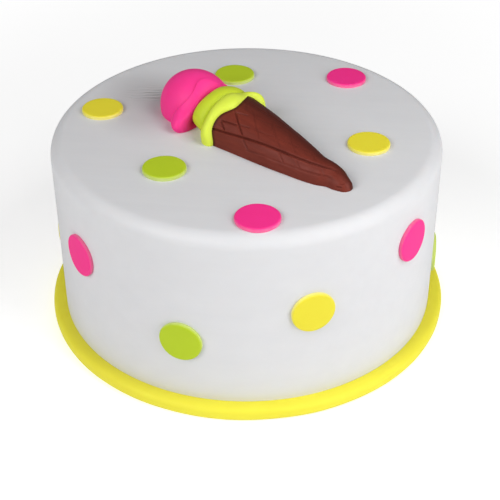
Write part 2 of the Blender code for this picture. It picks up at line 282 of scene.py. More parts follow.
# Beside the pink scoop a soft patch of the skin is painted darker: partly the scoop's painted
# shadow, partly a dull stain. The patch's middle, its half sizes, its tint and how much of
# that it takes. A patch is full inside PATCH_FULL of its half sizes and fades from there.
SHADOW_AND_STAIN_PLACE = (-0.066, 0.036, CAKE_HEIGHT)
SHADOW_AND_STAIN_SIZE = (0.040, 0.052, 0.020)
SHADOW_AND_STAIN_TINT = (0.34, 0.30, 0.30)
SHADOW_AND_STAIN_SHARE = 0.34
PATCH_FULL = 0.5

# Part of it is finely wrinkled as well, and the sunk folds are painted darker as painted
# shade. The wrinkles lie a few millimetres apart, are turned a little, drift to and fro and
# come and go in patches. WRINKLE_DEPTH is in millimetres.
WRINKLE_PLACE = (-0.064, 0.050, CAKE_HEIGHT)
WRINKLE_SIZE = (0.021, 0.014, 0.010)
WRINKLE_SPACING = 0.0040
WRINKLE_TURN = math.radians(3.0)
WRINKLE_DRIFT = 14.0
DRIFT_SCALE = 60.0
PATCHY_SCALE = 90.0
PATCHY_POWER = 2.0
PATCHY_GAIN = 4.0
WRINKLE_SHADE_TINT = (0.44, 0.43, 0.43)
WRINKLE_SHADE_SHARE = 0.50
WRINKLE_DEPTH = 0.22


def patch_mask(nodes, links, place, middle, size):
    """A soft patch on a face: 1 in its full part, fading to 0 at its half sizes."""
    centred = nodes.new('ShaderNodeMapping')
    centred.vector_type = 'TEXTURE'
    centred.inputs["Location"].default_value = middle
    centred.inputs["Scale"].default_value = size
    links.new(place, centred.inputs["Vector"])
    fall = nodes.new('ShaderNodeTexGradient')
    fall.gradient_type = 'SPHERICAL'
    links.new(centred.outputs[0], fall.inputs["Vector"])
    steep = math_node(nodes, links, 'MULTIPLY', fall.outputs["Fac"], 1.0 / (1.0 - PATCH_FULL))
    return math_node(nodes, links, 'MINIMUM', steep, 1.0)


def wrinkles(nodes, links, place):
    """The wrinkled part of the darker patch: 0 between the wrinkles, and most along their middles."""
    drift = noise_node(nodes, links, place, DRIFT_SCALE)
    drift = math_node(nodes, links, 'MULTIPLY', drift, WRINKLE_DRIFT)
    turned_place = nodes.new('ShaderNodeMapping')
    turned_place.inputs["Rotation"].default_value = (0.0, 0.0, WRINKLE_TURN)
    links.new(place, turned_place.inputs["Vector"])
    apart = nodes.new('ShaderNodeSeparateXYZ')
    links.new(turned_place.outputs[0], apart.inputs[0])
    phase = math_node(nodes, links, 'MULTIPLY', apart.outputs["Y"], 2.0 * math.pi / WRINKLE_SPACING)
    phase = math_node(nodes, links, 'ADD', phase, drift)
    ripple = math_node(nodes, links, 'SINE', phase, 0.0)
    ripple = math_node(nodes, links, 'MAXIMUM', ripple, 0.0)
    wrinkled = patch_mask(nodes, links, place, WRINKLE_PLACE, WRINKLE_SIZE)
    ripple = math_node(nodes, links, 'MULTIPLY', ripple, wrinkled)
    patchy = math_node(nodes, links, 'POWER', noise_node(nodes, links, place, PATCHY_SCALE), PATCHY_POWER)
    patchy = math_node(nodes, links, 'MULTIPLY', patchy, PATCHY_GAIN)
    return math_node(nodes, links, 'MULTIPLY', ripple, patchy)


def tinted(nodes, links, colour, tint, share):
    """A colour output mixed towards a tint by a share socket."""
    blend = nodes.new('ShaderNodeMix')
    blend.data_type = 'RGBA'
    links.new(share, blend.inputs["Factor"])
    links.new(colour, blend.inputs[6])
    blend.inputs[7].default_value = (*tint, 1.0)
    return blend.outputs[2]


nodes, links = white_paste.node_tree.nodes, white_paste.node_tree.links
look = nodes["Group"]
place = nodes.new('ShaderNodeTexCoord').outputs["Object"]
# The patch beside the pink scoop is painted darker: the scoop's painted shadow and a little stain
shadow_and_stain = patch_mask(nodes, links, place, SHADOW_AND_STAIN_PLACE, SHADOW_AND_STAIN_SIZE)
shadow_and_stain = math_node(nodes, links, 'MULTIPLY', shadow_and_stain, SHADOW_AND_STAIN_SHARE)
colour = tinted(nodes, links, look.outputs["Colour"], SHADOW_AND_STAIN_TINT, shadow_and_stain)
ripple = wrinkles(nodes, links, place)
# The wrinkles' sunk folds take painted shade
ripple_shade_share = math_node(nodes, links, 'MULTIPLY', ripple, WRINKLE_SHADE_SHARE)
colour = tinted(nodes, links, colour, WRINKLE_SHADE_TINT, ripple_shade_share)
links.new(colour, nodes["Principled BSDF"].inputs["Base Color"])
sunk = math_node(nodes, links, 'MULTIPLY', ripple, WRINKLE_DEPTH)
height = math_node(nodes, links, 'SUBTRACT', look.outputs["Height"], sunk)
links.new(height, nodes["Bump"].inputs["Height"])

top_flat = CAKE_RADIUS - CAKE_EDGE
wall_high = CAKE_HEIGHT - CAKE_EDGE
profile = [(mix(0.0, top_flat, i / CAKE_TOP_RINGS), CAKE_HEIGHT) for i in range(CAKE_TOP_RINGS)]
profile += arc((top_flat, wall_high), (CAKE_EDGE, CAKE_EDGE), 90.0, 0.0, CAKE_EDGE_RINGS)
profile += [(CAKE_RADIUS, mix(wall_high, 0.0, (i + 1) / CAKE_WALL_RINGS)) for i in range(CAKE_WALL_RINGS)]
profile.append((0.0, 0.0))
bm = turned(profile, CAKE_TURNS)
bm.normal_update()
for vert in bm.verts:
    if vert.co.z > MERGE:
        vert.co -= vert.normal * CAKE_DIP * dip(vert.co, CAKE_DIP_SPAN, CAKE_SEED)
cake = finished(bm, "covered_cake", white_paste)
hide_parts("cake")

# THE BAND
# A rope of yellow paste rolled under the palm, laid round the foot of the cake and pressed
# home, so it has a round outer side, a flat foot and a flat back that is tucked to the wall.
band_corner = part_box("band")[1]
BAND_OUTER = band_corner.x
BAND_HEIGHT = band_corner.z
BAND_TURNS = 384
BAND_SIDES = 36
BAND_LEDGE_STEPS = 6

# Its height at the wall, how wide its upper side runs before it rounds over, how square that
# round is, and how far its foot is pressed flat and its back is tucked into the wall
BAND_AT_WALL = 0.0088
BAND_LEDGE = 0.0042
BAND_SQUARE = 2.8
BAND_PRESS = 0.0004
BAND_TUCK = 0.0004

# Its unevenness, given as for the cake, and how far light goes into yellow paste, in
# millimetres of red, green and blue
BAND_WAVE = 0.00030
BAND_WAVE_SPAN = 0.030
BAND_SEED = 5.0
YELLOW_DEPTH = (2.0, 1.4, 0.3)


def squared(value, square):
    """A coordinate of a unit circle moved out to that of a squarer oval; 2 leaves the circle."""
    return math.copysign(abs(value) ** (2.0 / square), value)


yellow_paste = paste("yellow sugar paste", (0.855, 0.792, 0.061), (0.781, 0.687, 0.037), roughness=0.52,
                     mottle=0.6, streaks=0.3, grain=0.015, gloss=0.2, subsurface=0.1, radius=YELLOW_DEPTH)
band_inner = CAKE_RADIUS - BAND_TUCK
ledge_end = CAKE_RADIUS + BAND_LEDGE
half_wide = BAND_OUTER - ledge_end
half_high = (BAND_HEIGHT + BAND_PRESS) / 2
profile = []
for i in range(BAND_LEDGE_STEPS):
    share = i / BAND_LEDGE_STEPS
    rise = math.sin(math.pi / 2 * share)
    profile.append((mix(band_inner, ledge_end, share), mix(BAND_AT_WALL, BAND_HEIGHT, rise)))
for x, z in arc((0.0, 0.0), (1.0, 1.0), 90.0, -90.0, BAND_SIDES):
    high = half_high - BAND_PRESS + half_high * squared(z, BAND_SQUARE)
    profile.append((ledge_end + half_wide * squared(x, BAND_SQUARE), max(0.0, high)))
profile.append((band_inner, 0.0))
bm = turned(profile, BAND_TURNS, closed=True)
bm.normal_update()
for vert in bm.verts:
    if vert.co.z > MERGE:
        outwards = clamp((vert.co.xy.length - CAKE_RADIUS) / BAND_LEDGE)
        vert.co -= vert.normal * BAND_WAVE * outwards * dip(vert.co, BAND_WAVE_SPAN, BAND_SEED)
band = finished(bm, "yellow_band", yellow_paste)
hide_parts("band")

# THE DOTS
# Discs of coloured paste, all stamped with one 28 mm cutter from a sheet 2.5 mm thick, and
# stuck on with a touch of water: six on the top, and ten round the wall that bend with it.
disc_low, disc_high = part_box("dot_top_pink_front")
DOT_RADIUS = (disc_high.x - disc_low.x) / 2
DOT_THICKNESS = disc_high.z - CAKE_HEIGHT
DOT_STEPS = 96
DOT_TOP_RINGS = 8
DOT_EDGE_RINGS = 7

# How wide and how high the soft rim is, how far the back is tucked into the cake, and how far
# the foot is drawn in
DOT_EDGE = (0.0012, 0.0013)
DOT_TUCK = 0.0003
DOT_FOOT_INSET = 0.0001

# The unevenness of a dot's outline and of its face, given as for the cake. The last value is
# added to a dot's seed for its face.
DOT_OUTLINE = 0.00014
DOT_OUTLINE_SPAN = 0.012
DOT_DIP = 0.00012
DOT_DIP_SPAN = 0.011
DOT_DIP_SEED = 20.0

# Each colour of dot: its colour, its darker shade, how far light goes into it, and how much
# its cut edge is whitened, partly by dust and partly by a painted sheen. The whitening is
# patchy, and never falls below a least share of that, set below.
LIME_DEPTH = (1.2, 1.4, 0.3)
PINK_DEPTH = (2.0, 0.4, 0.8)
DOT_COLOURS = {
    "yellow": ((0.815, 0.725, 0.042), (0.743, 0.633, 0.030), YELLOW_DEPTH, 0.22),
    "lime": ((0.485, 0.625, 0.022), (0.405, 0.537, 0.016), LIME_DEPTH, 0.22),
    "pink": ((0.953, 0.033, 0.279), (0.853, 0.025, 0.218), PINK_DEPTH, 0.13),
}
CUT_DUST_AND_SHEEN = (0.97, 0.95, 0.84)
DUST_AND_SHEEN_SCALE = 300.0
LEAST_DUST_AND_SHEEN = 0.5


def cut_edge_group():
    """The paler, whiter cut edge of paste, where the cut_edge attribute is 1: partly dust, partly a painted
    sheen.
    """
    group = bpy.data.node_groups.new("cut edge", 'ShaderNodeTree')
    socket(group, "Colour", 'NodeSocketColor', 'INPUT')
    socket(group, "Dust And Sheen", 'NodeSocketFloat', 'INPUT')
    socket(group, "Colour", 'NodeSocketColor', 'OUTPUT')
    nodes, links = group.nodes, group.links
    given = nodes.new('NodeGroupInput')
    out = nodes.new('NodeGroupOutput')
    cut = nodes.new('ShaderNodeAttribute')
    cut.attribute_name = "cut_edge"
    patchy = noise_node(nodes, links, nodes.new('ShaderNodeTexCoord').outputs["Object"], DUST_AND_SHEEN_SCALE)
    patchy = math_node(nodes, links, 'ADD', patchy, LEAST_DUST_AND_SHEEN)
    share = math_node(nodes, links, 'MULTIPLY', cut.outputs["Fac"], patchy)
    share = math_node(nodes, links, 'MULTIPLY', share, given.outputs["Dust And Sheen"])
    links.new(tinted(nodes, links, given.outputs["Colour"], CUT_DUST_AND_SHEEN, share), out.inputs["Colour"])
    return group


cut_edge = cut_edge_group()
dot_pastes = {}
for name, (colour, shade, depth, dust_and_sheen) in DOT_COLOURS.items():
    dot_paste = paste(name + " dot paste", colour, shade, roughness=0.50, mottle=0.5, streaks=0.2,
                      grain=0.015, gloss=0.2, subsurface=0.1, radius=depth)
    nodes, links = dot_paste.node_tree.nodes, dot_paste.node_tree.links
    # The cut edge is whitened: partly dust, partly a painted sheen
    dust_and_sheen_node = nodes.new('ShaderNodeGroup')
    dust_and_sheen_node.node_tree = cut_edge
    dust_and_sheen_node.inputs["Dust And Sheen"].default_value = dust_and_sheen
    links.new(nodes["Group"].outputs["Colour"], dust_and_sheen_node.inputs["Colour"])
    links.new(dust_and_sheen_node.outputs["Colour"], nodes["Principled BSDF"].inputs["Base Color"])
    dot_pastes[name] = dot_paste


def dot_disc(seed):
    """A disc that lies flat with its back at z = 0, with a soft rim and a slightly dipped face."""
    rim = (DOT_RADIUS - DOT_EDGE[0], DOT_THICKNESS - DOT_EDGE[1])
    foot = DOT_RADIUS - DOT_FOOT_INSET
    profile = [(mix(0.0, rim[0], i / DOT_TOP_RINGS), DOT_THICKNESS) for i in range(DOT_TOP_RINGS)]
    profile += arc(rim, DOT_EDGE, 90.0, 0.0, DOT_EDGE_RINGS)
    profile += [(foot, 0.0), (foot, -DOT_TUCK), (0.0, -DOT_TUCK)]
    bm = turned(profile, DOT_STEPS)
    cut = bm.verts.layers.float.new("cut_edge")
    for vert in bm.verts:
        vert[cut] = clamp((DOT_THICKNESS - vert.co.z) / DOT_EDGE[1])
        far = vert.co.xy.length
        if far > DOT_RADIUS / 2:
            out = vert.co.xy.normalized()
            wave = dip(Vector((out.x, out.y, 0.0)) * DOT_RADIUS, DOT_OUTLINE_SPAN, seed) * DOT_OUTLINE
            vert.co.xy -= out * wave * (far / DOT_RADIUS)
        if vert.co.z > rim[1]:
            vert.co.z -= DOT_DIP * dip(vert.co, DOT_DIP_SPAN, seed + DOT_DIP_SEED)
    return bm


for number, name in enumerate(sorted(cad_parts)):
    if not name.startswith("dot_"):
        continue
    where, colour = name.split("_")[1:3]
    low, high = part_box(name)
    bm = dot_disc(number)
    if where == "top":
        bmesh.ops.translate(bm, verts=bm.verts, vec=((low.x + high.x) / 2, (low.y + high.y) / 2, CAKE_HEIGHT))
    else:
        middle = sum((vert.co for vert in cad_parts[name].data.vertices), Vector())
        round_wall = math.atan2(middle.x, -middle.y)
        for vert in bm.verts:
            turn = round_wall + vert.co.x / CAKE_RADIUS
            out = CAKE_RADIUS + vert.co.z
            vert.co = Vector((out * math.sin(turn), -out * math.cos(turn), vert.co.y + (low.z + high.z) / 2))
    dot = finished(bm, name.replace("dot_", "sugar_dot_"), dot_pastes[colour])
    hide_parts(name)

# THE ICE CREAM CONE
# Chocolate paste shaped into a half cone with a flat back. A knife has scored a slanting
# lattice into it and one long seam, as on a rolled wafer, and its tip is pinched aside.
MOUTH = (-0.0086, -0.0013)
LIE_ANGLE = math.radians(-48.0)
PRESSED_IN = 0.0002
LAID = CAKE_HEIGHT - PRESSED_IN
CONE_ROWS = (1, 250, 16)
CONE_COLUMNS = 300
ABOVE_AXIS = (-25.0, 205.0)

# The cone's half width, and how far its middle line bends aside, at each distance from the
# mouth. Its height is a share of its half width, at the mouth and at the tip.
CONE_LENGTH = 0.1041
CONE_WIDTHS = ((0.0, 0.02460), (0.0253, 0.02084), (0.0400, 0.01839), (0.0530, 0.01617), (0.0660, 0.01359),
               (0.0760, 0.01150), (0.0850, 0.01018), (0.0910, 0.00831), (0.0960, 0.00693), (0.1005, 0.00511),
               (CONE_LENGTH, 0.00371))
CONE_BENDS = ((0.0, 0.0), (0.0253, 0.00015), (0.0400, -0.00018), (0.0660, -0.00024), (0.0760, -0.00029),
              (0.0850, 0.00114), (0.0910, 0.00248), (0.0960, 0.00188), (0.1005, 0.00167),
              (CONE_LENGTH, 0.00167))
CONE_RISE = (0.93, 1.13)
CONE_SQUARE = 2.2
TIP_ROUND = 0.0030

# The seam: at each distance from the mouth, how far up the skin it lies from the front foot
SEAM = ((0.0, 0.0107), (0.0150, 0.0116), (0.0250, 0.0124), (0.0350, 0.0131), (0.0450, 0.0134),
        (0.0550, 0.0132), (0.0650, 0.0128), (0.0860, 0.0126), (0.0940, 0.0118))
SEAM_WIDTH = 0.00065
SEAM_DEPTH = 0.00110
SEAM_FADE = 0.006

# The scored lines. Each has its start and its stop, as the distance from the mouth and the
# way up the skin from the front foot, and its depth.
LONG_SCORES = (
    ((0.0070, 0.0186), (0.0200, 0.0192), 0.00080),
    ((0.0190, 0.0199), (0.0290, 0.0205), 0.00050),
    ((0.0310, 0.0207), (0.0480, 0.0208), 0.00022),
    ((0.0470, 0.0210), (0.0760, 0.0202), 0.00018),
    ((0.0110, 0.0279), (0.0210, 0.0294), 0.00060),
    ((0.0210, 0.0300), (0.0450, 0.0297), 0.00022),
    ((0.0330, 0.0054), (0.0480, 0.0068), 0.00036),
    ((0.0490, 0.0060), (0.0700, 0.0061), 0.00020),
    ((0.0700, 0.0062), (0.0930, 0.0064), 0.00034),
)
SLANTING_SCORES = (
    ((0.0075, 0.0183), (0.0135, 0.0127), 0.00085),
    ((0.0105, 0.0290), (0.0272, 0.0138), 0.00090),
    ((0.0285, 0.0118), (0.0355, 0.0052), 0.00050),
    ((0.0180, 0.0355), (0.0385, 0.0162), 0.00036),
    ((0.0340, 0.0325), (0.0545, 0.0150), 0.00032),
    ((0.0555, 0.0124), (0.0610, 0.0066), 0.00030),
    ((0.0480, 0.0300), (0.0655, 0.0148), 0.00024),
    ((0.0670, 0.0240), (0.0780, 0.0150), 0.00020),
    ((0.0685, 0.0110), (0.0730, 0.0066), 0.00020),
    ((0.0845, 0.0108), (0.0880, 0.0066), 0.00020),
)
FAR_SIDE_SCORES = (
    ((0.0080, 0.0400), (0.0450, 0.0350), 0.00030),
    ((0.0080, 0.0520), (0.0430, 0.0450), 0.00030),
    ((0.0080, 0.0640), (0.0400, 0.0540), 0.00030),
    ((0.0080, 0.0400), (0.0160, 0.0330), 0.00030),
    ((0.0100, 0.0530), (0.0300, 0.0350), 0.00030),
    ((0.0100, 0.0660), (0.0440, 0.0350), 0.00030),
    ((0.0260, 0.0640), (0.0560, 0.0370), 0.00025),
)
TIP_NICKS = (
    ((0.0975, 0.0022), (0.1008, 0.0026), 0.00055),
    ((0.0992, 0.0034), (0.1010, 0.0060), 0.00035),
)
SCORES = LONG_SCORES + SLANTING_SCORES + FAR_SIDE_SCORES + TIP_NICKS

# A line's width, how many widths off it can still be felt, the share of its length that it
# takes to deepen from nothing, and how much of that its very end has behind it. The blade
# raises a small ridge on both sides: its height as a share of the line's depth, and its place
# and its width in line widths.
SCORE_WIDTH = 0.00050
SCORE_REACH = 4.0
SCORE_FADE = 1.0 / 6.0
SCORE_END = 0.15
RIDGE_SHARE = 0.10
RIDGE_PLACE = 2.1
RIDGE_WIDTH = 0.8


def smooth_stations(x, stations):
    """The value at x of a smooth line through the stations; before the first it runs on straight."""
    if x <= stations[0][0]:
        (low, first), (high, second) = stations[0], stations[1]
        return mix(first, second, (x - low) / (high - low))
    for number in range(len(stations) - 1):
        if x <= stations[number + 1][0]:
            break
    (low, first), (high, second) = stations[number], stations[number + 1]
    span = high - low

    def slope(at):
        before, after = stations[max(0, at - 1)], stations[min(len(stations) - 1, at + 1)]
        return (after[1] - before[1]) / (after[0] - before[0])

    share = clamp((x - low) / span)
    lead, tail = slope(number) * span, slope(number + 1) * span
    square, cube = share ** 2, share ** 3
    return ((2 * cube - 3 * square + 1) * first + (cube - 2 * square + share) * lead
            + (3 * square - 2 * cube) * second + (cube - square) * tail)


def cone_surface(x, side, spare=0.0, shrink=1.0):
    """A point of the cone's skin at x, pushed out by spare and shrunk towards the middle line."""
    half = (smooth_stations(x, CONE_WIDTHS) + spare) * shrink
    rise = half * mix(*CONE_RISE, max(x, 0.0) / CONE_LENGTH)
    turn = math.radians(side)
    across = squared(math.cos(turn), CONE_SQUARE)
    up = squared(math.sin(turn), CONE_SQUARE)
    return Vector((x, smooth_stations(x, CONE_BENDS) - half * across, rise * up))


def stretch(share, rows):
    """Which stretch of rows a share of them all falls in, and how far along that stretch."""
    place = share * sum(rows)
    for number, count in enumerate(rows):
        if place <= count or number == len(rows) - 1:
            return number, place / count
        place -= count


def groove(distance, width, depth):
    """The depth of a scored groove at a distance from its middle, less the ridges beside it."""
    share = distance / width
    ridge = RIDGE_SHARE * math.exp(-((abs(share) - RIDGE_PLACE) / RIDGE_WIDTH) ** 2)
    return depth * (math.exp(-share ** 2) - ridge)


def off_line(x, up, start, stop):
    """How far a point is from a scored line, and how much of the line's depth is left there."""
    along = ((x - start[0]) * (stop[0] - start[0]) + (up - start[1]) * (stop[1] - start[1]))
    length_squared = (stop[0] - start[0]) ** 2 + (stop[1] - start[1]) ** 2
    share = along / length_squared
    near = clamp(share)
    distance = math.hypot(x - mix(start[0], stop[0], near), up - mix(start[1], stop[1], near))
    fade = math.sin(math.pi / 2 * clamp(min(share, 1.0 - share) / SCORE_FADE + SCORE_END))
    return distance, fade


def scored(x, side):
    """How deep the knife went in at a point of the cone's skin."""
    width = smooth_stations(x, CONE_WIDTHS)
    up = math.radians(side) * width
    depth = 0.0
    for start, stop, line_depth in SCORES:
        distance, fade = off_line(x, up, start, stop)
        if distance < SCORE_REACH * SCORE_WIDTH:
            depth = max(depth, groove(distance, SCORE_WIDTH, line_depth * fade), key=abs)
    left = clamp((SEAM[-1][0] - x) / SEAM_FADE)
    return max(depth, groove(up - smooth_stations(x, SEAM), SEAM_WIDTH, SEAM_DEPTH * left), key=abs)


def waved(form, side):
    """A wavy size at one side: its plain size and its swells."""
    plain, swells = form
    return plain + sum(size * math.exp(-((side - place) / width) ** 2) for size, place, width in swells)


def cone_skin(share, side):
    """The cone: its mouth, its length with the scored lines, and its rounded tip."""
    number, part = stretch(share, CONE_ROWS)
    if number == 0:
        return cone_surface(0.0, side, 0.0, part)
    straight = CONE_LENGTH - TIP_ROUND
    if number == 1:
        x, shrink = straight * part, 1.0
    else:
        turn = math.pi / 2 * part
        x, shrink = straight + TIP_ROUND * math.sin(turn), math.cos(turn)
    if side < 0.0:
        return cone_surface(x, side, 0.0, shrink)
    return cone_surface(x, side, -scored(x, side), shrink)


def laid(point):
    """A point of the upright ice cream, with x along it and z up, taken to where it lies."""
    x = point.x * math.cos(LIE_ANGLE) - point.y * math.sin(LIE_ANGLE)
    y = point.x * math.sin(LIE_ANGLE) + point.y * math.cos(LIE_ANGLE)
    return Vector((MOUTH[0] + x, MOUTH[1] + y, LAID + point.z))


def picked_up(point):
    """The way back from laid, as plain numbers."""
    east, north = point.x - MOUTH[0], point.y - MOUTH[1]
    x = east * math.cos(LIE_ANGLE) + north * math.sin(LIE_ANGLE)
    y = north * math.cos(LIE_ANGLE) - east * math.sin(LIE_ANGLE)
    return x, y, point.z - LAID


def modelled(surface, columns, rows, sides=ABOVE_AXIS):
    """A hand-shaped lump that lies on the cake along the ice cream's line, with a flat underside.

    It starts as a grid, and surface(share, side) says where each point goes: share runs from 0
    at one end of the lump to 1 at the other, and side goes round it in degrees. What comes out
    below the cake's top is cut off.
    """
    bm = bmesh.new()
    bmesh.ops.create_grid(bm, x_segments=columns, y_segments=sum(rows), size=1.0)
    for vert in bm.verts:
        share = clamp((vert.co.y + 1.0) / 2)
        side = mix(*sides, (vert.co.x + 1.0) / 2)
        vert.co = surface(share, side)
    bmesh.ops.remove_doubles(bm, verts=bm.verts, dist=MERGE)
    geometry = [*bm.verts, *bm.edges, *bm.faces]
    bmesh.ops.bisect_plane(bm, geom=geometry, dist=MERGE, plane_co=(0.0, 0.0, 0.0),
                           plane_no=(0.0, 0.0, -1.0), clear_outer=True)
    bmesh.ops.remove_doubles(bm, verts=bm.verts, dist=MERGE)
    bmesh.ops.holes_fill(bm, edges=[e for e in bm.edges if e.is_boundary], sides=0)
    bmesh.ops.recalc_face_normals(bm, faces=bm.faces)
    for vert in bm.verts:
        vert.co = laid(vert.co)
    return bm


# The brown is painted darker next to the lime frill, in the scored lines and on the far side:
# a painted shadow under the frill's edge, painted shade in the lines, and painted shade on the
# far side. The frill reaches this far over the mouth: a plain size and its swells (size, side,
# width in degrees). The painted shadow next to it has a place and a width, a line as deep as
# FULL_CUT is shaded all through, and the far side darkens from one side to another, in degrees.
# The shares are how much of the painted shade each of the three brings.
FRILL_REACH = (0.0039, ((0.0048, 78.0, 20.0), (0.0032, 2.0, 17.0), (-0.0036, 122.0, 13.0),
                        (0.0020, 145.0, 12.0), (0.0030, 180.0, 25.0)))
NEXT_TO_FRILL = (0.0005, 0.0013)
FULL_CUT = 0.0008
FAR_SIDE = (66.0, 114.0)
PAINTED_SHADE_BROWN = (0.045, 0.008, 0.005)
PAINTED_SHADE_SHARES = (0.92, 0.34, 0.72)


def on_cone(point):
    """Where a point of the laid cone is along it and round it, or None at its ends and under it."""
    x, y, z = picked_up(point)
    if x < MERGE or x > CONE_LENGTH or z < MERGE:
        return None
    half = smooth_stations(x, CONE_WIDTHS)
    rise = half * mix(*CONE_RISE, x / CONE_LENGTH)
    # Squaring by this undoes squaring by CONE_SQUARE
    undo = 4.0 / CONE_SQUARE
    across = squared(clamp((smooth_stations(x, CONE_BENDS) - y) / half, -1.0, 1.0), undo)
    up = squared(clamp(z / rise), undo)
    return x, math.degrees(math.atan2(up, across))


def painted_shade_share(x, side):
    """How much painted shade the brown takes at a point of the skin, from 0 to 1."""
    tucked = math.exp(-((x - waved(FRILL_REACH, side) - NEXT_TO_FRILL[0]) / NEXT_TO_FRILL[1]) ** 2)
    cut = clamp(scored(x, side) / FULL_CUT)
    away = clamp((side - FAR_SIDE[0]) / (FAR_SIDE[1] - FAR_SIDE[0]))
    away = away ** 2 * (3.0 - 2.0 * away)
    left = 1.0
    for part, share in zip((tucked, cut, away), PAINTED_SHADE_SHARES):
        left *= 1.0 - part * share
    return 1.0 - left


def tinted_by(material, attribute, tint):
    """Mix a paste's colour towards a tint by the share that an attribute gives."""
    nodes, links = material.node_tree.nodes, material.node_tree.links
    share = nodes.new('ShaderNodeAttribute')
    share.attribute_name = attribute
    colour = tinted(nodes, links, nodes["Group"].outputs["Colour"], tint, share.outputs["Fac"])
    links.new(colour, nodes["Principled BSDF"].inputs["Base Color"])


# The streaks in the paste run along the cone
ROLLED_STREAKS = ((0.0, 0.0, -LIE_ANGLE), (16.0, 430.0, 430.0))
chocolate_paste = paste("chocolate paste", (0.178, 0.0305, 0.0185), (0.118, 0.0190, 0.0115), roughness=0.48,
                        mottle=1.1, streaks=1.6, grain=0.020, gloss=0.16, streak_run=ROLLED_STREAKS)
# The brown takes painted shade by the share stored at each point of the skin
tinted_by(chocolate_paste, "painted_shade", PAINTED_SHADE_BROWN)

bm = modelled(cone_skin, CONE_COLUMNS, CONE_ROWS)
painted_shade = bm.verts.layers.float.new("painted_shade")
for vert in bm.verts:
    local = on_cone(vert.co)
    if local is not None:
        vert[painted_shade] = painted_shade_share(*local)
cone = finished(bm, "chocolate_cone", chocolate_paste)
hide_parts("cone")

# THE LIME SCOOP
# Lime paste pressed against the cone's mouth as a fat roll, with a thinner frill folded over
# the mouth by hand, so that it lies on the cone with a wavy edge.
LIME_ROWS = (4, 40, 52, 10, 3)
SCOOP_COLUMNS = 240

# Where it meets the pink scoop, the gap between pieces that rest on each other, the size of
# its flat end, how high it is for its width, and the place and size of the crease between the
# roll and the frill. Then how far the roll stands out, how far the rim of the flat end is
# drawn in, and how far the frill stands out, each with its swells.
MEETING = -0.0184
REST_GAP = 0.0003
LIME_END = 0.0205
LIME_RISE = 1.09
LIME_CREASE = -0.0045
LIME_FOOT = 0.0212
LIME_ROLL = (0.0038, ((-0.0040, 0.0, 14.0), (-0.0010, 108.0, 22.0), (-0.0030, 180.0, 14.0)))
LIME_TUCK = (0.0, ((0.0060, 0.0, 16.0), (0.0022, 72.0, 27.0), (0.0050, 180.0, 15.0)))
FRILL_BULGE = (0.0040, ((0.0018, 14.0, 14.0), (-0.0026, 110.0, 17.0), (0.0022, 142.0, 12.0)))

# The frill is painted lighter than the roll, as painted light on its face: its tint, how much
# of it there is, and how far from the crease it takes to come in
FRILL_LIGHT_TINT = (0.79, 0.91, 0.115)
FRILL_LIGHT_SHARE = 0.5
FRILL_LIGHT_BLEND = 0.0050


def roll(start, end, bulge, share):
    """A point of a rounded roll between two foot points (x, r) that stands out by bulge."""
    along = (1.0 - math.cos(math.pi * share)) / 2
    return mix(start[0], end[0], along), mix(start[1], end[1], along) + bulge * math.sin(math.pi * share)


def lime_skin(share, side):
    """The lime scoop: its flat end, the roll, the frill, the frill's inner side and its hollow."""
    turn = math.radians(side)
    bare = abs(side)
    flat = LIME_END - waved(LIME_TUCK, bare)
    reach = waved(FRILL_REACH, bare)

    def ring(x, r):
        return Vector((x, -r * math.cos(turn), r * LIME_RISE * math.sin(turn)))

    number, part = stretch(share, LIME_ROWS)
    if number == 0:
        return ring(MEETING + REST_GAP, flat * part)
    if number == 1:
        return ring(*roll((MEETING + REST_GAP, flat), (LIME_CREASE, LIME_FOOT), waved(LIME_ROLL, bare), part))
    if number == 2:
        crease = ring(LIME_CREASE, LIME_FOOT)
        edge = cone_surface(reach, side)
        point = crease.lerp(edge, (1.0 - math.cos(math.pi * part)) / 2)
        outwards = Vector((0.0, point.y, point.z)).normalized()
        return point + outwards * waved(FRILL_BULGE, bare) * math.sin(math.pi * part)
    if number == 3:
        return cone_surface(mix(reach, -REST_GAP, part), side, -REST_GAP)
    return cone_surface(-REST_GAP, side, -REST_GAP, 1.0 - part)


lime_paste = paste("lime scoop paste", (0.605, 0.720, 0.036), (0.507, 0.610, 0.025), roughness=0.48,
                   mottle=0.6, streaks=0.2, grain=0.015, gloss=0.2, subsurface=0.15, radius=LIME_DEPTH)
# The frill takes painted light by the share stored at each point past the crease
tinted_by(lime_paste, "painted_frill_light", FRILL_LIGHT_TINT)

bm = modelled(lime_skin, SCOOP_COLUMNS, LIME_ROWS)
painted_frill_light = bm.verts.layers.float.new("painted_frill_light")
for vert in bm.verts:
    along = picked_up(vert.co)[0]
    vert[painted_frill_light] = FRILL_LIGHT_SHARE * clamp((along - LIME_CREASE) / FRILL_LIGHT_BLEND)
lime_scoop = finished(bm, "lime_scoop", lime_paste)
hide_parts("scoop_lime")

# THE PINK SCOOP
# A ball of pink paste, with a wavy lip rolled out of its lower edge as a melting scoop has.
# The lip is fattest in the lobe at its front foot and draws in where it meets the lime scoop.
BALL_RADII = (0.0256, 0.0230, 0.0242)
BALL_PLACE = (-0.0356, -0.0014, 0.0045)
BALL_COLUMNS = 376
ALL_ROUND = (-90.0, 270.0)
PINK_ROWS = (70, 60, 5, 5, 3)

